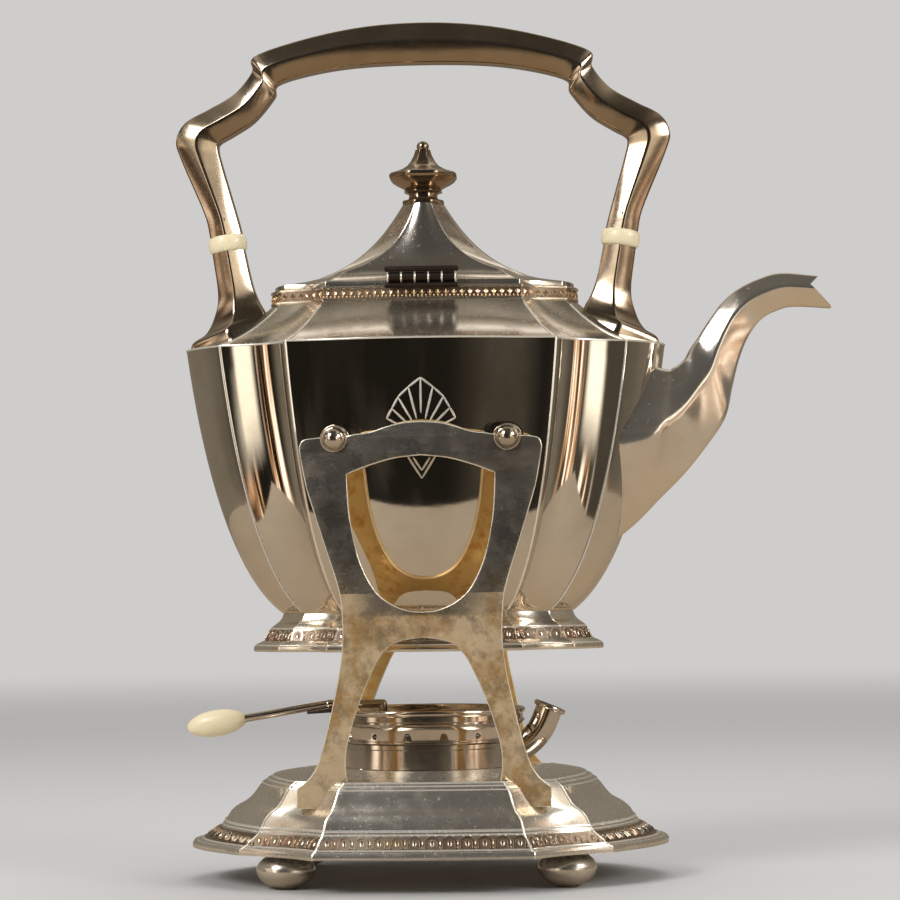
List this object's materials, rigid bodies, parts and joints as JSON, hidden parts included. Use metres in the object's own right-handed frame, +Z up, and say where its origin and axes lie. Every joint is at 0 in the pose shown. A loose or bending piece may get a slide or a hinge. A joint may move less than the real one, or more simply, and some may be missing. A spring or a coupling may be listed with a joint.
{
  "type": "silver spirit kettle on a stand",
  "caption": "Faceted silver-plated kettle with swan-neck spout, hinged lid and fixed bail handle, tilting on studs in a two-frame stand with a spirit burner.",
  "frame": {"origin": "on the table, under the middle of the stand", "axes": "+Z up, +X the way the spout points, -Y the side of the lid hinge"},
  "size_m": [0.2619, 0.144, 0.3418],
  "materials": {
    "silver": "polished, lightly tarnished",
    "dark_silver": "polished, dark tarnish",
    "gilt": "satin",
    "ivory": "polished",
    "cotton": "woven"
  },
  "bodies": {
    "stand": {"stand_base": "silver", "ball_feet": "silver", "front_frame": "dark_silver", "back_frame": "dark_silver", "burner_seat": "silver"},
    "pivot": {"pivot_studs": "silver"},
    "kettle": {"kettle_body": "silver", "kettle_foot": "silver", "kettle_shoulder": "silver", "mouth_band": "silver", "spout": "silver", "stud_bosses": "silver", "handle_socket_left": "silver", "handle_socket_right": "silver", "insulator_left": "ivory", "insulator_right": "ivory", "handle_grip": "silver", "handle_pins": "silver", "rest_studs": "silver", "hinge_leaf": "silver", "hinge_pin": "silver"},
    "lid": {"lid_hinge_leaf": "silver", "lid_dome": "silver", "lid_bezel": "silver", "lid_finial": "silver", "finial_nut": "silver"},
    "burner": {"burner_reservoir": "silver", "burner_chimney": "silver", "filler_tube": "silver", "wick_tube": "gilt", "wick": "cotton"},
    "regulator": {"regulator_ring": "silver", "lever_bracket": "silver", "lever_rod": "silver", "lever_knob": "ivory"}
  },
  "joints": [
    {"name": "kettle_lift", "type": "slide", "parent": "stand", "child": "pivot", "axis": [0, 0, 1], "range_m": [0, 0.1]},
    {"name": "kettle_tilt", "type": "hinge", "parent": "pivot", "child": "kettle", "pos_m": [0.033, 0, 0.1709], "axis": [0, 1, 0], "range_deg": [0, 45]},
    {"name": "lid_hinge", "type": "hinge", "parent": "kettle", "child": "lid", "pos_m": [0, -0.0257, 0.2359], "axis": [1, 0, 0], "range_deg": [0, 95]},
    {"name": "burner_lift", "type": "slide", "parent": "stand", "child": "burner", "axis": [0, 0, 1], "range_m": [0, 0.012]},
    {"name": "regulator_turn", "type": "hinge", "parent": "burner", "child": "regulator", "pos_m": [0, 0, 0.0605], "axis": [0, 0, 1], "range_deg": [-35, 35]}
  ]
}
